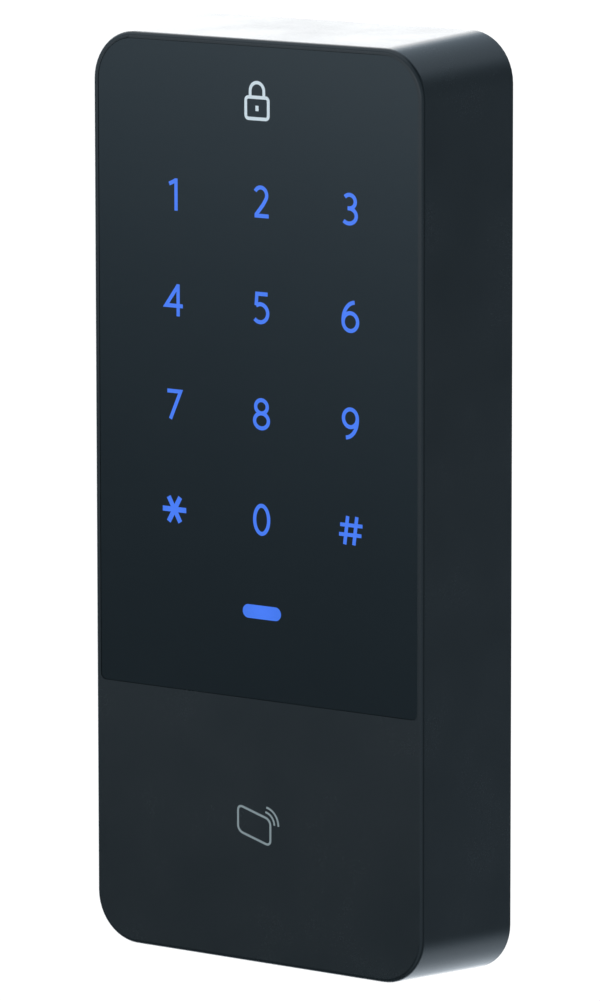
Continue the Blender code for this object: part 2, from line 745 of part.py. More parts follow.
def make_tamper_plunger():
    """The sprung pin that the wall holds in. It is drawn out, as it stands off the wall."""
    tip_end = DEPTH + TAMPER_TRAVEL
    stem_end = 17.4 * MM
    origin = PLUNGER_FLANGE[1]
    profile = (
        (0.0, tip_end - origin),
        (PLUNGER_TIP_RADIUS - 0.7 * MM, tip_end - origin),
        (PLUNGER_TIP_RADIUS, tip_end - origin - 0.6 * MM),
        (PLUNGER_TIP_RADIUS, 0.0),
        (PLUNGER_FLANGE_RADIUS, 0.0),
        (PLUNGER_FLANGE_RADIUS, PLUNGER_FLANGE[0] - origin),
        (PLUNGER_STEM_RADIUS, PLUNGER_FLANGE[0] - origin),
        (PLUNGER_STEM_RADIUS, stem_end - origin),
        (0.0, stem_end - origin),
    )
    place = (TAMPER_X, y_at(origin), TAMPER_Z)
    return paint(turned("tamper_plunger", profile, place, ROUND_STEPS), "plunger_plastic")


def make_tamper_spring():
    """The coil spring around the plunger's stem, from the switch to the plunger's flange."""
    steps_per_turn = 14
    count = int(SPRING_TURNS * steps_per_turn)
    start = SPRING_LAYER[0] + SPRING_WIRE / 2
    rise = SPRING_LAYER[1] - SPRING_LAYER[0] - SPRING_WIRE
    curve = bpy.data.curves.new("tamper_spring", "CURVE")
    curve.dimensions = "3D"
    curve.bevel_depth = SPRING_WIRE / 2
    curve.bevel_resolution = 2
    curve.use_fill_caps = True
    coil = curve.splines.new("POLY")
    coil.points.add(count)
    for step in range(count + 1):
        angle = 2.0 * math.pi * step / steps_per_turn
        x = SPRING_RADIUS * math.cos(angle)
        z = SPRING_RADIUS * math.sin(angle)
        coil.points[step].co = (x, y_at(start + rise * step / count), z, 1.0)
    spring = bpy.data.objects.new("tamper_spring", curve)
    PARTS.objects.link(spring)
    spring.location = (TAMPER_X, 0.0, TAMPER_Z)
    return paint(spring, "screw_steel")


def make_wall_bracket():
    """The folded steel plate on the wall: tongues at the top, a lip for the lock screw, two pressed ribs."""
    bracket = slab(
        "wall_bracket",
        (-BRACKET_HALF_WIDTH, BRACKET_HALF_WIDTH),
        BRACKET_LAYER,
        (BRACKET_BOTTOM, BRACKET_TOP),
        3.0 * MM,
        steps=4,
    )
    lip = block(
        "bracket_lip",
        (-LIP_HALF_WIDTH, LIP_HALF_WIDTH),
        (LIP_FRONT, BRACKET_LAYER[0] + MM),
        (BRACKET_BOTTOM, BRACKET_BOTTOM + BRACKET_GAUGE),
    )
    join(bracket, lip)
    for index, side in enumerate((-1, 1)):
        across = centred(side * TONGUE_X, 2 * TONGUE_HALF_WIDTH)
        leg_up = (BRACKET_TOP - BRACKET_GAUGE, BRACKET_TOP)
        blade = (TONGUE_FRONT, TONGUE_FRONT + TONGUE_GAUGE)
        join(
            bracket,
            block(f"tongue_leg_{index}", across, (TONGUE_FRONT, BRACKET_LAYER[0] + MM), leg_up),
            block(f"tongue_blade_{index}", across, blade, (leg_up[0], TONGUE_TOP)),
        )
    raised = (BRACKET_LAYER[0] - RIB_HEIGHT, BRACKET_LAYER[0] + 0.5 * MM)
    pressed = (DEPTH - RIB_HEIGHT, DEPTH + MM)
    groove_up = (RIB_Z[0] + MM / 2, RIB_Z[1] - MM / 2)
    for index, side in enumerate((-1, 1)):
        rib_across = centred(side * RIB_X, RIB_WIDTH)
        groove_across = centred(side * RIB_X, RIB_WIDTH - MM)
        join(bracket, slab(f"rib_{index}", rib_across, raised, RIB_Z, 1.5 * MM, steps=4))
        cut(bracket, slab(f"groove_{index}", groove_across, pressed, groove_up, MM, steps=4))
    through = (BRACKET_LAYER[0] - MM, DEPTH + MM)
    window = slab(
        "bracket_window",
        (-BRACKET_WINDOW_HALF_WIDTH, BRACKET_WINDOW_HALF_WIDTH),
        through,
        BRACKET_WINDOW_Z,
        4.0 * MM,
        steps=4,
    )
    notch = slab(
        "plunger_notch",
        (TAMPER_X - 5.5 * MM, BRACKET_HALF_WIDTH + 5.0 * MM),
        through,
        centred(TAMPER_Z, 12.0 * MM),
        3.0 * MM,
        steps=4,
    )
    cut(bracket, window, notch)
    for index, (x, z) in enumerate(both_sides(SLOT_X, SLOT_Z)):
        radius = SLOT_SIZE[1] / 2 - 0.01 * MM
        across, up = centred(x, SLOT_SIZE[0]), centred(z, SLOT_SIZE[1])
        cut(bracket, slab(f"wall_slot_{index}", across, through, up, radius, steps=6))
    hole_ends = (BRACKET_BOTTOM - MM, BRACKET_BOTTOM + BRACKET_GAUGE + MM)
    cut(bracket, upright_peg("lip_hole", y_at(LOCK_SCREW_DEPTH), 1.4 * MM, *hole_ends))
    return paint(bracket, "bracket_steel")


def lock_screw_holes():
    """The countersink and the hole in the case's bottom wall, under the bracket's lip."""
    y = y_at(LOCK_SCREW_DEPTH)
    wall_outside = -FRONT_HEIGHT / 2 - DRAFT
    for name, radius, low, high in (
        ("lock_head_seat", 2.9 * MM, wall_outside - MM, wall_outside + 1.3 * MM),
        ("lock_hole", 1.5 * MM, wall_outside - MM, wall_outside + 5.0 * MM),
    ):
        yield upright_peg(name, y, radius, low, high)


def upright_peg(name, y, radius, low, high):
    """A vertical cylinder on the reader's middle plane."""
    shape = bmesh.new()
    bmesh.ops.create_cone(
        shape, cap_ends=True, segments=SMALL_STEPS, radius1=radius, radius2=radius, depth=high - low
    )
    bmesh.ops.translate(shape, vec=(0.0, y, (low + high) / 2), verts=shape.verts)
    return object_from_bmesh(name, shape)


def make_lock_screw():
    """The screw that holds the case down on the bracket's lip, put in from below."""
    head_base = -FRONT_HEIGHT / 2 - DRAFT + MM
    place = (0.0, y_at(LOCK_SCREW_DEPTH), head_base)
    return pan_screw("lock_screw", place, (2.5 * MM, MM), (1.1 * MM, 6.6 * MM), facing=math.pi)


clear_scene()
PARTS = new_collection("keypad_access_reader")
HELPERS = new_collection("cutters_and_joined_pieces")
MATERIALS = {
    name: material(name, *values)
    for name, values in {
        "case_plastic": ((0.020, 0.026, 0.032), 0.42),
        "panel_gloss": ((0.012, 0.016, 0.019), 0.08),
        "cover_plastic": ((0.022, 0.024, 0.027), 0.55),
        "adhesive_foam": ((0.030, 0.030, 0.032), 0.90),
        "film": ((0.060, 0.065, 0.075), 0.35),
        "baffle_plastic": ((0.750, 0.750, 0.740), 0.60),
        "light_pipe": ((0.700, 0.760, 0.820), 0.20),
        "led": ((0.820, 0.820, 0.760), 0.40),
        "circuit_board": ((0.020, 0.090, 0.045), 0.45),
        "chip": ((0.018, 0.018, 0.020), 0.50),
        "connector_plastic": ((0.025, 0.025, 0.028), 0.50),
        "header_plastic": ((0.780, 0.760, 0.680), 0.50),
        "ferrite": ((0.060, 0.058, 0.060), 0.70),
        "copper": ((0.720, 0.330, 0.160), 0.35, 1.0),
        "can_aluminium": ((0.780, 0.780, 0.790), 0.30, 1.0),
        "rubber": ((0.024, 0.024, 0.025), 0.85),
        "plunger_plastic": ((0.760, 0.750, 0.720), 0.45),
        "screw_steel": ((0.600, 0.600, 0.610), 0.32, 1.0),
        "bracket_steel": ((0.560, 0.570, 0.580), 0.38, 1.0),
    }.items()
}
make_front_housing()
make_touch_panel()
make_panel_adhesive()
make_touch_film()
make_light_baffle()
make_indicator_light_pipe()
make_leds()
make_keypad_board()
make_main_board()
make_card_antenna()
make_rear_gasket()
make_rear_cover()
make_rear_screws()
make_cable_grommet()
make_tamper_switch()
make_tamper_plunger()
make_tamper_spring()
make_wall_bracket()
make_lock_screw()
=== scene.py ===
"""The looks of the keypad access reader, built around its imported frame.

Metres, +Z up. The front looks along -Y and the wall is the plane Y = 0. Pieces that are drawn here in
millimetres are scaled down by MM when they become a mesh.
"""

import json
import math

import bmesh
import bpy
from mathutils import Matrix, Vector

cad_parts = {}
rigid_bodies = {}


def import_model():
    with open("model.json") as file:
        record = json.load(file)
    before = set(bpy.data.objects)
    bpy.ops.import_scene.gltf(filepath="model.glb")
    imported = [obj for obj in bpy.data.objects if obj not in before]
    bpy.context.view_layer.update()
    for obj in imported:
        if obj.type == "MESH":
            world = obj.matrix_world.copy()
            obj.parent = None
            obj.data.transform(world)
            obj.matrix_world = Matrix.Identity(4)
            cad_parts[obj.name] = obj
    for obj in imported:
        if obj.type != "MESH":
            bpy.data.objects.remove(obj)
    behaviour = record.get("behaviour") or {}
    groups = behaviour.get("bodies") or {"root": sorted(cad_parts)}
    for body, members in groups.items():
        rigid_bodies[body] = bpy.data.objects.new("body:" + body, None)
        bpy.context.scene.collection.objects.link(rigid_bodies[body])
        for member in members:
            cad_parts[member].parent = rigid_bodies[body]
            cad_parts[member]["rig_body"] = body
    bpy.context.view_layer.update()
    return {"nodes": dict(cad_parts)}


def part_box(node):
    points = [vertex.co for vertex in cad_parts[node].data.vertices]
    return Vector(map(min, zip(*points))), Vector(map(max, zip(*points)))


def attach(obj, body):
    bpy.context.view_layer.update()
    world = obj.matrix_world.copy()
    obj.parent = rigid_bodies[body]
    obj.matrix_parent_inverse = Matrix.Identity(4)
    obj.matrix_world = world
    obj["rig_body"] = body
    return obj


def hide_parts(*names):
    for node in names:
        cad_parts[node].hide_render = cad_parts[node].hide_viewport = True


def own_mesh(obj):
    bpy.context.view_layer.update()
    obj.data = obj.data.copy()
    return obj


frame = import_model()

MM = 0.001
SCENE = bpy.context.scene
READER = "reader"

# Panel and card area, from the frame.
PANEL_LOW, PANEL_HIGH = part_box("touch_panel")
PANEL_FACE = PANEL_LOW.y
CARD_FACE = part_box("front_housing")[0].y

# Middles of the keys, the status bar and the two signs, in millimetres.
KEY_CENTRE_X = 1.16
KEY_PITCH_X = 20.1
TOP_KEY_Z = 56.0
KEY_PITCH_Z = 19.5
INDICATOR_Z = -19.7
CARD_SIGN_X = -0.62
CARD_SIGN_Z = -59.6
LOCK_SIGN_X = 0.28
LOCK_SIGN_Z = 74.2

# Edge rounding of the fine copies, in millimetres, and the screws' head length and shank radius.
EDGE = 0.10
EDGES = {
    "front_housing": 0.0,
    "rear_cover": 0.25,
    "wall_bracket": 0.15,
    "cable_grommet": 0.25,
    "tamper_plunger": 0.15,
    "antenna_coil": 0.04,
    "touch_film": 0.05,
}
SCREWS = {
    "rear_screw": (1.6, 1.1),
    "keypad_board_screw": (1.2, 0.8),
    "main_board_screw": (1.5, 1.0),
    "lock_screw": (1.0, 1.1),
}

# How far the glass panel outgrows its CAD solid on each side, and the rounding of its edge.
PANEL_GROWTH = 0.17
PANEL_EDGE = 0.06

# The signs: stroke width of the numbers, and how far each sign reaches into and out of the face.
STROKE = 0.74
PRINT_SUNK = 0.05
PRINT_PROUD = 0.01

# The camera: angles in radians, the lens in millimetres, its distance and offsets in metres.
CAMERA_YAW = 0.63899
CAMERA_PITCH = 0.155083
CAMERA_ROLL = -0.00110956
CAMERA_LENS = 267.05
CAMERA_DISTANCE = 1.3578
CAMERA_RIGHT = 0.007999
CAMERA_UP = 0.000969

# Brightness of the studio's parts.
BACK_LEFT = 1.95
BACK_RIGHT = 0.72
BACK_FAR_RIGHT = 0.30
GROUND = 0.75
OVERHEAD = 0.9
FRONT_RIGHT = 0.42
HORIZON = 1.50
EVERYWHERE = 0.10

FLOOR_HALF = 40.0
FLOOR_Z = -1.30
DOME_RADIUS = 5.0

# Faces that meet at less than this angle, in degrees, become one face, and points this close one point.
FLAT_ANGLE = 0.5
SAME_POINT = 0.002 * MM

# The screws' roundness, and how many rings each turn of the thread has.
SCREW_SIDES = 36
THREAD_STEPS = 8


# ---------------------------------------------------------------- camera and studio

def make_camera():
    """A long lens, to the right of the reader and a little above it."""
    yaw, pitch, roll = CAMERA_YAW, CAMERA_PITCH, CAMERA_ROLL
    back = Vector((math.sin(yaw) * math.cos(pitch), -math.cos(yaw) * math.cos(pitch), math.sin(pitch)))
    right = Vector((math.cos(yaw), math.sin(yaw), 0.0))
    up = back.cross(right)
    level_right, level_up = right, up
    right = math.cos(roll) * level_right + math.sin(roll) * level_up
    up = -math.sin(roll) * level_right + math.cos(roll) * level_up
    data = bpy.data.cameras.new("camera")
    data.lens = CAMERA_LENS
    data.sensor_width = 36.0
    data.clip_start = 0.05
    data.clip_end = 60.0
    camera = bpy.data.objects.new("camera", data)
    SCENE.collection.objects.link(camera)
    place = back * CAMERA_DISTANCE + right * CAMERA_RIGHT + up * CAMERA_UP + Vector((0.0, CARD_FACE, 0.0))
    turn = Matrix((right, up, back)).transposed().to_4x4()
    camera.matrix_world = Matrix.Translation(place) @ turn
    SCENE.camera = camera


class Nodes:
    """Short calls for the nodes of one node tree."""

    def __init__(self, tree):
        self.tree = tree

    def add(self, kind, **settings):
        node = self.tree.nodes.new(kind)
        for name, value in settings.items():
            setattr(node, name, value)
        return node

    def link(self, source, target):
        self.tree.links.new(source, target)

    def feed(self, socket, value):
        if isinstance(value, bpy.types.NodeSocket):
            self.link(value, socket)
        else:
            socket.default_value = value

    def math(self, operation, first, second=0.0):
        node = self.add("ShaderNodeMath", operation=operation)
        self.feed(node.inputs[0], first)
        self.feed(node.inputs[1], second)
        return node.outputs[0]

    def plus(self, first, *others):
        for other in others:
            first = self.math("ADD", first, other)
        return first

    def times(self, first, *others):
        for other in others:
            first = self.math("MULTIPLY", first, other)
        return first

    def spread(self, value, low, high, to_low=0.0, to_high=1.0, smooth=False):
        """The value mapped from low..high to to_low..to_high, and held at the ends."""
        kind = "SMOOTHSTEP" if smooth else "LINEAR"
        node = self.add("ShaderNodeMapRange", interpolation_type=kind)
        for index, number in enumerate((value, low, high, to_low, to_high)):
            self.feed(node.inputs[index], number)
        return node.outputs[0]

    def mix(self, factor, first, second, blend="MIX"):
        node = self.add("ShaderNodeMix", data_type="RGBA", blend_type=blend)
        self.feed(node.inputs[0], factor)
        self.feed(node.inputs[6], first)
        self.feed(node.inputs[7], second)
        return node.outputs[2]

    def noise(self, coordinates, size, detail=3.0, roughness=0.55):
        """Noise whose features are about size metres across."""
        node = self.add("ShaderNodeTexNoise")
        self.link(coordinates, node.inputs["Vector"])
        node.inputs["Scale"].default_value = 1.0 / size
        node.inputs["Detail"].default_value = detail
        node.inputs["Roughness"].default_value = roughness
        return node.outputs["Fac"]


def new_surface(name):
    """A material with its node helper, its shader and the object's own coordinates."""
    material = bpy.data.materials.new(name)
    material.use_nodes = True
    n = Nodes(material.node_tree)
    shader = material.node_tree.nodes["Principled BSDF"]
    place = n.add("ShaderNodeTexCoord").outputs["Object"]
    return material, n, shader, place


def shaded(colour, factor):
    return (colour[0] * factor, colour[1] * factor, colour[2] * factor, 1.0)


def make_world():
    """A soft studio all round: a bright backdrop behind on the left, dark on the right, pale overhead."""
    world = bpy.data.worlds.new("studio")
    SCENE.world = world
    world.use_nodes = True
    tree = world.node_tree
    tree.nodes.clear()
    n = Nodes(tree)
    direction = n.add("ShaderNodeTexCoord").outputs["Generated"]
    parts = n.add("ShaderNodeSeparateXYZ")
    n.link(direction, parts.inputs[0])
    x, y, z = parts.outputs

    # Behind: a bright sheet on the left, a dimmer one on the right, and the pale ground below.
    behind = n.spread(y, -0.10, 0.55, smooth=True)
    back_left = n.spread(x, -0.32, -0.60, 0.0, BACK_LEFT, smooth=True)
    back_right = n.spread(x, 0.66, 0.40, 0.08, BACK_RIGHT, smooth=True)
    far_right = n.spread(x, 0.66, 0.90, 0.0, BACK_FAR_RIGHT, smooth=True)
    ground = n.spread(z, -0.28, -0.60, 0.0, GROUND, smooth=True)
    ground = n.times(ground, n.spread(x, 0.30, -0.30, 0.4, 1.0, smooth=True))
    backdrop = n.times(behind, n.plus(back_left, n.plus(back_right, far_right), ground))

    # Overhead: a round light, a little to the left and the front.
    height = n.add("ShaderNodeVectorMath", operation="DOT_PRODUCT")
    n.link(direction, height.inputs[0])
    height.inputs[1].default_value = Vector((-0.50, -0.25, 0.83)).normalized()
    outer, inner = math.cos(math.radians(55.0)), math.cos(math.radians(18.0))
    overhead = n.spread(height.outputs["Value"], outer, inner, 0.0, OVERHEAD, smooth=True)

    # In front: a glow on the right, and on the left a band that is brightest about the horizon.
    front = n.spread(y, -0.1, -0.6, smooth=True)
    front_right = n.times(front, n.spread(x, -0.28, 0.30, 0.0, FRONT_RIGHT, smooth=True))
    rise = n.math("EXPONENT", n.plus(n.times(z, 21.0), 2.10))
    rise = n.times(n.math("MINIMUM", rise, HORIZON), n.spread(z, 0.0, 0.28, 1.0, 0.2, smooth=True))
    front_left = n.times(front, n.spread(x, 0.5, -0.3, smooth=True))
    horizon = n.times(front_left, rise, n.spread(x, -0.62, -0.56, 0.64, 1.10))

    # Dim parts are a little blue.
    total = n.plus(n.plus(backdrop, overhead), n.plus(horizon, front_right))
    colour = n.mix(n.spread(total, 0.3, 2.3), (0.75, 0.98, 1.20, 1.0), (0.97, 0.99, 1.01, 1.0))
    shade = n.add("ShaderNodeBackground")
    n.link(colour, shade.inputs["Color"])
    n.link(n.plus(total, EVERYWHERE), shade.inputs["Strength"])
    output = n.add("ShaderNodeOutputWorld")
    n.link(shade.outputs[0], output.inputs["Surface"])


def solid(name, shape):
    """An object made from a bmesh, which is freed."""
    mesh = bpy.data.meshes.new(name)
    shape.to_mesh(mesh)
    shape.free()
    made = bpy.data.objects.new(name, mesh)
    SCENE.collection.objects.link(made)
    return made


def make_floor():
    """A plain pale floor, far enough below for the reader to throw no shadow on it."""
    shape = bmesh.new()
    corners = ((-1, -1), (1, -1), (1, 1), (-1, 1))
    shape.faces.new([shape.verts.new((x * FLOOR_HALF, y * FLOOR_HALF, FLOOR_Z)) for x, y in corners])
    floor = solid("floor", shape)
    material, n, shader, place = new_surface("floor_paper")
    grain = n.noise(place, 0.9, 2.0)
    n.link(n.mix(grain, (0.93, 0.93, 0.93, 1.0), (0.97, 0.97, 0.97, 1.0)), shader.inputs["Base Color"])
    shader.inputs["Roughness"].default_value = 0.9
    shader.inputs["Emission Color"].default_value = (1.0, 1.0, 1.0, 1.0)
    shader.inputs["Emission Strength"].default_value = 0.35
    floor.data.materials.append(material)
    floor.visible_glossy = False


def make_backdrop():
    """A plain white dome that only the camera sees, so that the studio's lights stay out of the picture."""
    shape = bmesh.new()
    bmesh.ops.create_icosphere(shape, subdivisions=5, radius=DOME_RADIUS)
    bmesh.ops.reverse_faces(shape, faces=shape.faces)
    dome = solid("backdrop", shape)
    material, n, shader, place = new_surface("backdrop_paper")
    grain = n.noise(place, 1.5, 2.0)
    shader.inputs["Base Color"].default_value = (0.0, 0.0, 0.0, 1.0)
    n.link(n.mix(grain, (0.99, 0.99, 0.99, 1.0), (1.0, 1.0, 1.0, 1.0)), shader.inputs["Emission Color"])
    shader.inputs["Emission Strength"].default_value = 1.05
    dome.data.materials.append(material)
    dome.visible_diffuse = False
    dome.visible_glossy = False
    dome.visible_transmission = False
    dome.visible_volume_scatter = False
    dome.visible_shadow = False


# ---------------------------------------------------------------- materials

def moulded(name, colour, roughness, grain=0.00035, bump=0.05, mottle=0.12, edge_highlight=0.25):
    """A moulded or cast surface: fine grain, a slow change of tone and gloss, and a painted highlight that
    makes the edges paler.
    """
    material, n, shader, place = new_surface(name)
    slow = n.noise(place, 0.018, 4.0)
    fine = n.noise(place, grain, 3.0, 0.6)
    tone = n.mix(slow, shaded(colour, 1.0 - mottle), shaded(colour, 1.0 + mottle))
    # Painted highlight: where the bevel normal turns away from the face's normal, the colour is made paler,
    # patchy with the slow noise.
    edge = n.add("ShaderNodeBevel", samples=4)
    edge.inputs["Radius"].default_value = 0.00025
    flat = n.add("ShaderNodeNewGeometry").outputs["Normal"]
    facing = n.add("ShaderNodeVectorMath", operation="DOT_PRODUCT")
    n.link(edge.outputs[0], facing.inputs[0])
    n.link(flat, facing.inputs[1])
    painted_edge_highlight = n.spread(facing.outputs["Value"], 0.999, 0.90, 0.0, edge_highlight)
    painted_edge_highlight = n.times(painted_edge_highlight, n.spread(slow, 0.35, 0.65, 0.35, 1.0))
    n.link(n.mix(painted_edge_highlight, tone, shaded(colour, 1.9)), shader.inputs["Base Color"])
    gloss = n.spread(fine, 0.2, 0.8, roughness - 0.04, roughness + 0.04)
    gloss = n.plus(gloss, n.spread(slow, 0.3, 0.7, -0.03, 0.03))
    n.link(gloss, shader.inputs["Roughness"])
    shader.inputs["IOR"].default_value = 1.5
    relief = n.add("ShaderNodeBump")
    relief.inputs["Strength"].default_value = bump
    relief.inputs["Distance"].default_value = 0.00005
    n.link(fine, relief.inputs["Height"])
    n.link(relief.outputs[0], shader.inputs["Normal"])
    return material


def panel_glass():
    """Black glass: deep, nearly mirror smooth, with faint wiping marks."""
    material, n, shader, place = new_surface("panel_gloss")
    slow = n.noise(place, 0.030, 5.0)
    stretched = n.add("ShaderNodeMapping")
    stretched.inputs["Rotation"].default_value = (0.0, math.radians(38.0), 0.0)
    stretched.inputs["Scale"].default_value = (0.12, 1.0, 1.0)
    n.link(place, stretched.inputs[0])
    wiped = n.noise(stretched.outputs[0], 0.0016, 5.0, 0.7)
    tone = n.mix(slow, (0.0034, 0.0052, 0.0056, 1.0), (0.0046, 0.0068, 0.0074, 1.0))
    n.link(tone, shader.inputs["Base Color"])
    gloss = n.plus(n.spread(wiped, 0.35, 0.75, 0.045, 0.085), n.spread(slow, 0.3, 0.7, 0.0, 0.02))
    n.link(gloss, shader.inputs["Roughness"])
    shader.inputs["IOR"].default_value = 1.5
    shader.inputs["Specular Tint"].default_value = (0.88, 0.97, 1.0, 1.0)
    return material


def brushed(name, colour, roughness, along=(1.0, 1.0, 12.0)):
    """Metal with fine streaks along one way."""
    material, n, shader, place = new_surface(name)
    stretched = n.add("ShaderNodeMapping")
    stretched.inputs["Scale"].default_value = along
    n.link(place, stretched.inputs[0])
    streak = n.noise(stretched.outputs[0], 0.0007, 4.0, 0.65)
    slow = n.noise(place, 0.009, 4.0)
    tone = n.mix(streak, shaded(colour, 0.86), shaded(colour, 1.08))
    dulled = n.spread(slow, 0.45, 0.8, 0.0, 0.35)
    n.link(n.mix(dulled, tone, shaded(colour, 0.72)), shader.inputs["Base Color"])
    n.link(n.spread(streak, 0.25, 0.75, roughness - 0.07, roughness + 0.09), shader.inputs["Roughness"])
    shader.inputs["Metallic"].default_value = 1.0
    relief = n.add("ShaderNodeBump")
    relief.inputs["Strength"].default_value = 0.08
    relief.inputs["Distance"].default_value = 0.00004
    n.link(streak, relief.inputs["Height"])
    n.link(relief.outputs[0], shader.inputs["Normal"])
    return material


def board_green():
    """Green solder mask over copper tracks, with bare pads."""
    material, n, shader, place = new_surface("circuit_board")
    tracks = n.add("ShaderNodeTexBrick", offset=0.5, squash=1.0)
    turned = n.add("ShaderNodeMapping")
    turned.inputs["Rotation"].default_value = (math.radians(90.0), 0.0, 0.0)
    n.link(place, turned.inputs[0])
    n.link(turned.outputs[0], tracks.inputs["Vector"])
    tracks.inputs["Scale"].default_value = 120.0
    tracks.inputs["Mortar Size"].default_value = 0.035
    tracks.inputs["Color1"].default_value = (0.012, 0.075, 0.034, 1.0)
    tracks.inputs["Color2"].default_value = (0.015, 0.090, 0.040, 1.0)
    tracks.inputs["Mortar"].default_value = (0.030, 0.165, 0.070, 1.0)
    slow = n.noise(place, 0.006, 3.0)
    blotch = n.spread(slow, 0.3, 0.7, 0.0, 0.4)
    tone = n.mix(blotch, tracks.outputs["Color"], (0.018, 0.110, 0.050, 1.0))
    n.link(tone, shader.inputs["Base Color"])
    n.link(n.spread(slow, 0.2, 0.8, 0.32, 0.50), shader.inputs["Roughness"])
    return material


def lit_ink():
    """A legend lit from behind by the LED at its middle."""
    material, n, shader, place = new_surface("lit_legend")
    reach = n.add("ShaderNodeVectorMath", operation="LENGTH")
    n.link(place, reach.inputs[0])
    near = n.spread(reach.outputs["Value"], 0.0, 0.0048, 1.0, 0.0, smooth=True)
    grain = n.noise(place, 0.00025, 2.0)
    blend = n.plus(near, n.spread(grain, 0.3, 0.7, -0.08, 0.08))
    colour = n.mix(blend, (0.031, 0.128, 0.640, 1.0), (0.039, 0.145, 0.730, 1.0))
    n.link(colour, shader.inputs["Emission Color"])
    n.link(n.mix(grain, (0.02, 0.05, 0.16, 1.0), (0.03, 0.06, 0.20, 1.0)), shader.inputs["Base Color"])
    shader.inputs["Emission Strength"].default_value = 1.0
    shader.inputs["Roughness"].default_value = 0.12
    return material


def printed_ink(name, colour):
    """Screen-printed ink: opaque, matt and slightly uneven."""
    material, n, shader, place = new_surface(name)
    grain = n.noise(place, 0.00022, 3.0, 0.6)
    n.link(n.mix(grain, shaded(colour, 0.90), shaded(colour, 1.08)), shader.inputs["Base Color"])
    n.link(n.spread(grain, 0.2, 0.8, 0.45, 0.62), shader.inputs["Roughness"])
    return material


def slot_materials():
    """The finish of each material slot that the frame's nodes use."""
    return {
        "case_plastic": moulded(
            "case_plastic", (0.0056, 0.0088, 0.0096), 0.24, bump=0.008, mottle=0.05, edge_highlight=0.15
        ),
        "panel_gloss": panel_glass(),
        "cover_plastic": moulded("cover_plastic", (0.020, 0.022, 0.025), 0.48, bump=0.35, grain=0.0005),
        "adhesive_foam": moulded("adhesive_foam", (0.030, 0.030, 0.032), 0.9, bump=0.6, grain=0.0004),
        "film": moulded("film", (0.060, 0.065, 0.075), 0.35, bump=0.02),
        "baffle_plastic": moulded(
            "baffle_plastic", (0.75, 0.75, 0.74), 0.55, bump=0.1, mottle=0.04, edge_highlight=0.0
        ),
        "light_pipe": moulded("light_pipe", (0.70, 0.76, 0.82), 0.22, bump=0.05, mottle=0.04, edge_highlight=0.0),
        "led": moulded("led", (0.80, 0.79, 0.72), 0.40, bump=0.05, mottle=0.05, edge_highlight=0.0),
        "circuit_board": board_green(),
        "chip": moulded("chip", (0.018, 0.018, 0.020), 0.50, bump=0.3, grain=0.0002),
        "connector_plastic": moulded("connector_plastic", (0.022, 0.022, 0.025), 0.46, bump=0.1),
        "header_plastic": moulded(
            "header_plastic", (0.74, 0.72, 0.63), 0.46, bump=0.1, mottle=0.05, edge_highlight=0.0
        ),
        "ferrite": moulded("ferrite", (0.060, 0.058, 0.060), 0.70, bump=0.5, grain=0.0003),
        "copper": brushed("copper", (0.72, 0.33, 0.16), 0.32, (1.0, 1.0, 1.0)),
        "can_aluminium": brushed("can_aluminium", (0.78, 0.78, 0.79), 0.30),
        "rubber": moulded("rubber", (0.022, 0.022, 0.023), 0.82, bump=0.5, grain=0.0004),
        "plunger_plastic": moulded(
            "plunger_plastic", (0.72, 0.71, 0.68), 0.42, bump=0.1, mottle=0.04, edge_highlight=0.0
        ),
        "screw_steel": brushed("screw_steel", (0.72, 0.68, 0.64), 0.30, (4.0, 4.0, 4.0)),
        "bracket_steel": brushed("bracket_steel", (0.66, 0.61, 0.57), 0.36),
    }


# ---------------------------------------------------------------- printed and lit signs

def arc(centre_u, centre_v, radius_u, radius_v, start, end, steps=20):
    """Points on an ellipse, from one angle to another in degrees, anticlockwise from the right."""
    points = []
    for step in range(steps + 1):
        angle = math.radians(start + (end - start) * step / steps)
        points.append((centre_u + radius_u * math.cos(angle), centre_v + radius_v * math.sin(angle)))
    return points


def ribbon(points, width, closed=False):
    """The two edges of a flat stroke along a line of points, mitred at its bends."""
    count = len(points)
    left, right = [], []
    for index in range(count):
        here = Vector(points[index])
        before = Vector(points[index - 1]) if closed or index else None
        after = Vector(points[(index + 1) % count]) if closed or index < count - 1 else None
        ways = []
        if before is not None:
            ways.append((here - before).normalized())
        if after is not None:
            ways.append((after - here).normalized())
        way = sum(ways, Vector((0.0, 0.0))).normalized()
        side = Vector((-way.y, way.x))
        reach = width / 2 / max(0.35, side.dot(Vector((-ways[0].y, ways[0].x))))
        left.append(here + side * reach)
        right.append(here - side * reach)
    return left, right


def rounded_rectangle(half_u, half_v, radius, steps, centre_v=0.0):
    """The outline of a rectangle with round corners, of steps points and one more at each."""
    outline = []
    corners = ((half_u, half_v, 0), (-half_u, half_v, 90), (-half_u, -half_v, 180), (half_u, -half_v, 270))
    for u, v, start in corners:
        middle_u = u - math.copysign(radius, u)
        middle_v = v - math.copysign(radius, v) + centre_v
        outline += arc(middle_u, middle_v, radius, radius, start, start + 90, steps)
    return outline


def stroke_object(name, points, width, closed):
    """A flat stroke, in millimetres, that stands a little proud of the plane Y = 0."""
    shape = bmesh.new()
    left, right = ribbon(points, width, closed)
    count = len(points)
    front, back = -PRINT_PROUD, PRINT_SUNK
    rows = []
    for a, b in zip(left, right):
        rows.append([
            shape.verts.new((a.x, front, a.y)),
            shape.verts.new((b.x, front, b.y)),
            shape.verts.new((b.x, back, b.y)),
            shape.verts.new((a.x, back, a.y)),
        ])
    last = count if closed else count - 1
    for index in range(last):
        here, there = rows[index], rows[(index + 1) % count]
        for corner in range(4):
            following = (corner + 1) % 4
            shape.faces.new((here[corner], here[following], there[following], there[corner]))
    if not closed:
        shape.faces.new(reversed(rows[0]))
        shape.faces.new(rows[-1])
    bmesh.ops.recalc_face_normals(shape, faces=shape.faces)
    return solid(name, shape)


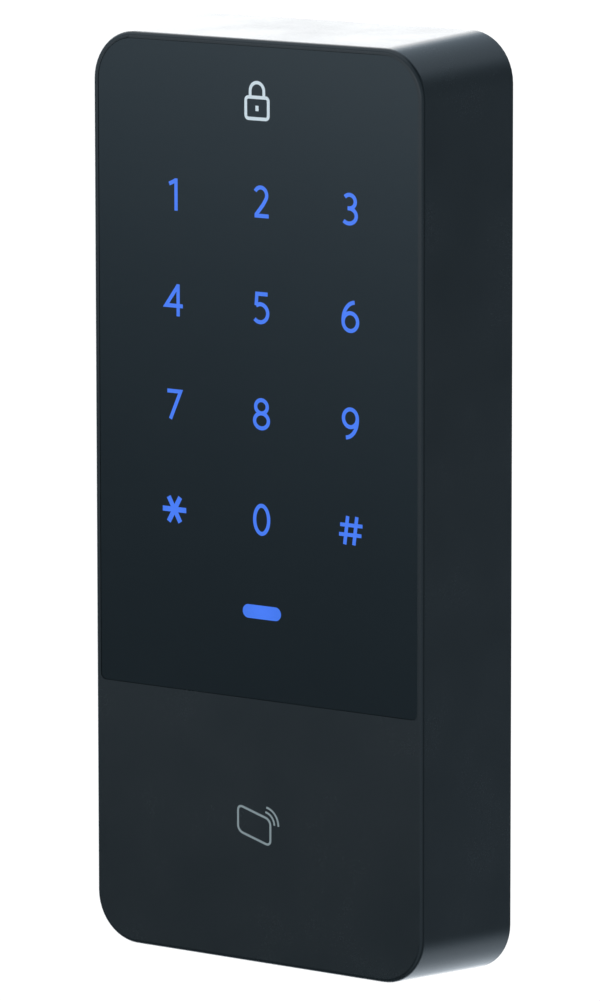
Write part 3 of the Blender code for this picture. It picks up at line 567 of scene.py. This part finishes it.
def plate_object(name, outline):
    """A filled outline of points (u, v), in millimetres, as thick as the printed strokes."""
    shape = bmesh.new()
    front = [shape.verts.new((u, -PRINT_PROUD, v)) for u, v in outline]
    back = [shape.verts.new((u, PRINT_SUNK, v)) for u, v in outline]
    shape.faces.new(front)
    shape.faces.new(reversed(back))
    for index in range(len(outline)):
        following = (index + 1) % len(outline)
        shape.faces.new((front[index], back[index], back[following], front[following]))
    bmesh.ops.recalc_face_normals(shape, faces=shape.faces)
    return solid(name, shape)


def apply_modifiers(piece):
    """Makes the piece's modifiers part of its mesh."""
    bpy.context.view_layer.update()
    graph = bpy.context.evaluated_depsgraph_get()
    mesh = bpy.data.meshes.new_from_object(piece.evaluated_get(graph), depsgraph=graph)
    piece.modifiers.clear()
    piece.data = mesh


def finish_sign(whole, face, x, z, material):
    """Scales a sign drawn in millimetres, sets it on a face of the front and lets it ride on the reader."""
    whole.data.transform(Matrix.Scale(MM, 4))
    whole.data.materials.clear()
    whole.data.materials.append(material)
    whole.location = (x * MM, face, z * MM)
    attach(whole, READER)


def sign(name, strokes, face, x, z, material):
    """A sign made of strokes, joined into one solid and set on a face of the front."""
    pieces = [
        stroke_object(f"{name}_{index}", points, width, closed)
        for index, (points, width, closed) in enumerate(strokes)
    ]
    whole = pieces[0]
    for other in pieces[1:]:
        union = whole.modifiers.new("union", "BOOLEAN")
        union.operation = "UNION"
        union.solver = "EXACT"
        union.object = other
    apply_modifiers(whole)
    for other in pieces[1:]:
        bpy.data.objects.remove(other, do_unlink=True)
    whole.name = name
    finish_sign(whole, face, x, z, material)


def glyphs():
    """The strokes of each key's legend: (points, width, closed), in millimetres about the key's middle."""
    w = STROKE
    top, foot = 2.60, -2.60
    return {
        "1": [([(0.62, top + w / 2), (0.62, foot - w / 2)], w, False),
              ([(-0.95, 1.92), (0.62, top + 0.02)], w, False)],
        "2": [(arc(-0.10, 1.18, 1.38, 1.42, 152, -28, 18) + [(0.45, -0.55), (-1.20, foot + 0.12)], w, False),
              ([(-1.48, foot), (1.72, foot)], w, False)],
        "3": [(arc(-0.22, 1.37, 1.32, 1.23, 140, -90, 20) + [(-0.62, 0.14)], w, False),
              ([(-0.62, 0.14)] + arc(-0.30, -1.23, 1.62, 1.37, 90, -138, 20), w, False)],
        "4": [([(1.02, top + w / 2), (1.02, foot - w / 2)], w, False),
              ([(0.92, top), (-1.78, -1.05), (2.10, -1.05)], w, False)],
        "5": [([(1.45, top), (-1.00, top), (-1.16, 0.45)], w, False),
              ([(-1.16, 0.45)] + arc(-0.25, -0.93, 1.72, 1.66, 96, -138, 24), w, False)],
        "6": [(arc(0.0, -0.98, 1.62, 1.62, 0, 360, 32)[:-1], w, True),
              (arc(1.05, -0.75, 2.68, 3.35, 92, 182, 18), w, False)],
        "7": [([(-1.55, top), (1.50, top), (-0.85, foot)], w, False)],
        "8": [(arc(0.0, 1.38, 1.32, 1.22, 0, 360, 28)[:-1], w, True),
              (arc(0.0, -1.22, 1.58, 1.38, 0, 360, 30)[:-1], w, True)],
        "9": [(arc(0.0, 0.98, 1.55, 1.62, 0, 360, 32)[:-1], w, True),
              (arc(-1.10, 0.75, 2.66, 3.35, -88, 2, 18), w, False)],
        "0": [(arc(0.0, 0.0, 1.60, 2.60, 0, 360, 40)[:-1], w, True)],
        "star": [([(-2.72, 0.08), (2.72, 0.08)], 0.98, False),
                 ([(-1.34, 2.42), (1.34, -2.26)], 0.98, False),
                 ([(1.34, 2.42), (-1.34, -2.26)], 0.98, False)],
        "hash": [([(-0.60, 2.52), (-1.27, -2.72)], 0.76, False),
                 ([(1.45, 2.52), (0.78, -2.72)], 0.76, False),
                 ([(-2.30, 0.88), (2.72, 0.88)], 0.70, False),
                 ([(-2.54, -0.90), (2.48, -0.90)], 0.70, False)],
    }


def make_legends():
    """The lit numbers, star and hash, and the status bar."""
    ink = lit_ink()
    shapes = glyphs()
    for index, label in enumerate(("1", "2", "3", "4", "5", "6", "7", "8", "9", "star", "0", "hash")):
        row, column = divmod(index, 3)
        x = KEY_CENTRE_X + (column - 1) * KEY_PITCH_X
        z = TOP_KEY_Z - row * KEY_PITCH_Z
        sign(f"legend_{label}", shapes[label], PANEL_FACE, x, z, ink)
    half, radius = 3.1, 1.275
    capsule = arc(-half, 0.0, radius, radius, 90, 270, 20) + arc(half, 0.0, radius, radius, -90, 90, 20)
    bar = plate_object("status_bar", capsule)
    finish_sign(bar, PANEL_FACE, KEY_CENTRE_X, INDICATOR_Z, ink)


def make_card_sign():
    """A card outline that leans down to the right, with two arcs off its upper corner."""
    lean, outline_width, arc_width = -0.285, 0.43, 0.38
    outline = [(u, v + lean * u) for u, v in rounded_rectangle(3.72, 2.45, 1.05, 8)]
    strokes = [(outline, outline_width, True)]
    for radius, start, end in ((2.42, 2, 82), (3.34, 0, 80)):
        strokes.append((arc(2.22, 0.36, radius, radius, start, end, 14), arc_width, False))
    ink = printed_ink("grey_ink", (0.255, 0.282, 0.268))
    sign("card_sign", strokes, CARD_FACE, CARD_SIGN_X, CARD_SIGN_Z, ink)


def make_lock_sign():
    """A plain padlock outline at the top of the panel."""
    width, slot_width, shackle, foot, shoulder = 0.62, 0.7, 1.55, 0.7, 1.9
    body = rounded_rectangle(2.55, 1.95, 0.6, 6, centre_v=-1.2)
    bow = [(-shackle, foot), (-shackle, shoulder)]
    bow += arc(0.0, shoulder, shackle, shackle, 180, 0, 18)[1:-1]
    bow += [(shackle, shoulder), (shackle, foot)]
    strokes = [
        (body, width, True),
        (bow, width, False),
        ([(0.0, -0.75), (0.0, -1.75)], slot_width, False),
    ]
    ink = printed_ink("white_ink", (0.72, 0.74, 0.72))
    sign("lock_sign", strokes, PANEL_FACE, LOCK_SIGN_X, LOCK_SIGN_Z, ink)


# ---------------------------------------------------------------- fine copies of the frame's pieces

def placed(name, shape, node, keep_angle=35.0):
    """Makes a piece from a bmesh, with the finish of its CAD node, smooth but for edges past an angle."""
    bmesh.ops.recalc_face_normals(shape, faces=shape.faces)
    piece = solid(name, shape)
    piece.data.shade_smooth()
    piece.data.set_sharp_from_angle(angle=math.radians(keep_angle))
    piece.data.materials.append(MATERIALS[SLOT_OF[node]])
    return piece


def keep_flats(piece):
    """Shades the large faces flat, so that only the rounded edges bend the light."""
    level = piece.modifiers.new("level", "WEIGHTED_NORMAL")
    level.keep_sharp = True
    level.weight = 100


def stand_for(piece, node):
    """Lets a piece take the place of a CAD node."""
    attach(piece, frame["nodes"][node]["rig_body"])
    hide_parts(node)


def merged_shape(node):
    """A CAD node's mesh with its triangles merged into whole faces."""
    shape = bmesh.new()
    shape.from_mesh(frame["nodes"][node].data)
    bmesh.ops.remove_doubles(shape, verts=shape.verts, dist=SAME_POINT)
    flat = math.radians(FLAT_ANGLE)
    bmesh.ops.dissolve_limit(shape, angle_limit=flat, verts=shape.verts, edges=shape.edges)
    return shape


def round_edges(shape, radius, above=30.0, segments=2):
    """Rounds the edges that are sharper than an angle in degrees."""
    sharp = [
        edge for edge in shape.edges
        if len(edge.link_faces) == 2 and edge.calc_face_angle(0.0) > math.radians(above)
    ]
    bmesh.ops.bevel(
        shape, geom=sharp, offset=radius, segments=segments, profile=0.5, affect="EDGES", clamp_overlap=True
    )


def fine_copy(node, radius):
    """A copy of a CAD node with rounded edges and smooth shading, its flats kept flat."""
    shape = merged_shape(node)
    if radius:
        round_edges(shape, radius * MM)
    piece = placed(f"{node}_fine", shape, node)
    keep_flats(piece)
    stand_for(piece, node)


def turned_shape(rings):
    """A closed shape from rings of points, each (x, y, z), capped at both ends with one face."""
    shape = bmesh.new()
    rows = [[shape.verts.new(point) for point in ring] for ring in rings]
    count = len(rows[0])
    for here, there in zip(rows, rows[1:]):
        for index in range(count):
            following = (index + 1) % count
            shape.faces.new((here[index], here[following], there[following], there[index]))
    shape.faces.new(rows[0])
    shape.faces.new(reversed(rows[-1]))
    return shape


def circle(radius, along, lobes=0.0):
    """A ring about the Y axis; lobes is how far its six lobes swing, as a share of the radius."""
    points = []
    for side in range(SCREW_SIDES):
        turn = 2.0 * math.pi * side / SCREW_SIDES
        reach = radius * (1.0 + lobes * math.cos(6.0 * turn))
        points.append((reach * math.cos(turn), along, reach * math.sin(turn)))
    return points


def head_rings(radius, length):
    """From the floor of the six-lobe socket, over the crown of a pan head and down its side."""
    socket, floor = 0.42 * radius, 0.62 * length
    mouth = socket * 1.35
    rings = [
        circle(socket * 0.06, floor),
        circle(socket * 0.72, floor, 0.10),
        circle(socket * 0.98, floor * 0.86, 0.13),
        circle(socket, 0.06 * length, 0.13),
        circle(socket * 1.08, 0.02 * length, 0.10),
        circle(mouth, 0.0),
    ]
    steps = 9
    for step in range(steps):
        angle = math.radians(90.0 * (step + 1) / steps)
        reach = mouth + (radius - mouth) * math.sin(angle)
        rings.append(circle(reach, 0.72 * length * (1.0 - math.cos(angle))))
    return rings + [circle(radius, length * 0.94), circle(radius * 0.97, length)]


def thread_rings(radius, start, length):
    """A rolled thread that fades in under the head and out towards the tip."""
    pitch = 0.42 * radius * 2
    root, crest_height = 0.80, 0.19
    rows = int(length / pitch * THREAD_STEPS)
    rings = []
    for row in range(1, rows + 1):
        share = row / rows
        along = start + length * share
        fade = min(1.0, (1.0 - share) * length / (1.2 * pitch) + 0.12, share * length / (0.8 * pitch))
        ring = []
        for side in range(SCREW_SIDES):
            turn = 2.0 * math.pi * side / SCREW_SIDES
            phase = ((along - start) / pitch + side / SCREW_SIDES) % 1.0
            crest = max(0.0, 1.0 - abs(phase - 0.5) / 0.32)
            taper = 0.55 + 0.45 * min(1.0, fade * 1.6)
            reach = radius * (root * taper + crest_height * crest * fade)
            ring.append((reach * math.cos(turn), along, reach * math.sin(turn)))
        rings.append(ring)
    return rings


def fine_screw(node, head_length, shank_radius):
    """A pan-head screw with a six-lobe socket and a rolled thread, in the space of its CAD node."""
    low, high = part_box(node)
    upright = node == "lock_screw"
    length = (high.z - low.z) if upright else (high.y - low.y)
    head_length, shank_radius = head_length * MM, shank_radius * MM
    rings = head_rings((high.x - low.x) / 2, head_length)
    rings.append(circle(shank_radius * 0.94, head_length))
    rings += thread_rings(shank_radius, head_length, length - head_length)
    piece = placed(f"{node}_fine", turned_shape(rings), node, 40.0)
    middle = (low + high) / 2
    if upright:
        turn = Matrix(((1, 0, 0), (0, 0, -1), (0, 1, 0))).to_4x4()
        piece.data.transform(Matrix.Translation((middle.x, middle.y, low.z)) @ turn)
    else:
        turn = Matrix(((-1, 0, 0), (0, -1, 0), (0, 0, 1))).to_4x4()
        piece.data.transform(Matrix.Translation((middle.x, high.y, middle.z)) @ turn)
    stand_for(piece, node)


def make_panel():
    """The glass front panel, a hair wider than its CAD solid, with its edge ground round."""
    shape = merged_shape("touch_panel")
    centre = (PANEL_LOW + PANEL_HIGH) / 2
    grow_x = 1.0 + 2.0 * PANEL_GROWTH * MM / (PANEL_HIGH.x - PANEL_LOW.x)
    grow_z = 1.0 + 2.0 * PANEL_GROWTH * MM / (PANEL_HIGH.z - PANEL_LOW.z)
    for vertex in shape.verts:
        vertex.co.x = centre.x + (vertex.co.x - centre.x) * grow_x
        vertex.co.z = centre.z + (vertex.co.z - centre.z) * grow_z
    round_edges(shape, PANEL_EDGE * MM, 40.0, 3)
    piece = placed("touch_panel_fine", shape, "touch_panel")
    keep_flats(piece)
    stand_for(piece, "touch_panel")


def make_fine_copies():
    """Every CAD node but the spring gives way to a finer piece of the same size."""
    for node in sorted(frame["nodes"]):
        kind = node.rstrip("0123456789").rstrip("_")
        if kind in SCREWS:
            fine_screw(node, *SCREWS[kind])
        elif node not in ("tamper_spring", "touch_panel"):
            fine_copy(node, EDGES.get(node, EDGE))


# ---------------------------------------------------------------- the tamper spring

def make_spring():
    """The coil around the plunger's stem, which the plunger's flange squeezes as it goes in; here the coil
    is made at one fixed length.
    """
    low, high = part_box("tamper_spring")
    wire, turns, steps, sides = 0.15 * MM, 4.5, 28, 10
    middle = (low + high) / 2
    radius = (high.x - low.x) / 2 - wire - 0.02 * MM
    count = int(turns * steps)
    first, last = low.y + wire, high.y - wire
    rings = []
    for step in range(count + 1):
        share = step / count
        turn = 2.0 * math.pi * step / steps
        eased = min(max((share * turns - 0.6) / (turns - 1.2), 0.0), 1.0)
        y = first + (last - first) * (0.06 * share + 0.94 * eased)
        out = Vector((math.cos(turn), 0.0, math.sin(turn)))
        centre = Vector((middle.x, y, middle.z)) + out * radius
        rings.append([
            centre + out * wire * math.cos(a) + Vector((0.0, wire * math.sin(a), 0.0))
            for a in (2.0 * math.pi * side / sides for side in range(sides))
        ])
    shape = turned_shape(rings)
    bmesh.ops.recalc_face_normals(shape, faces=shape.faces)
    coil = solid("tamper_spring_coil", shape)
    coil.data.shade_smooth()
    coil.data.materials.append(MATERIALS["screw_steel"])
    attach(coil, READER)
    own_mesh(coil)
    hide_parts("tamper_spring")


SCENE.view_settings.view_transform = "Standard"
make_camera()
make_world()
make_floor()
make_backdrop()
MATERIALS = slot_materials()
SLOT_OF = {
    name: node.material_slots[0].material.name.split(".")[0]
    for name, node in frame["nodes"].items()
}
make_panel()
make_fine_copies()
make_legends()
make_card_sign()
make_lock_sign()
make_spring()
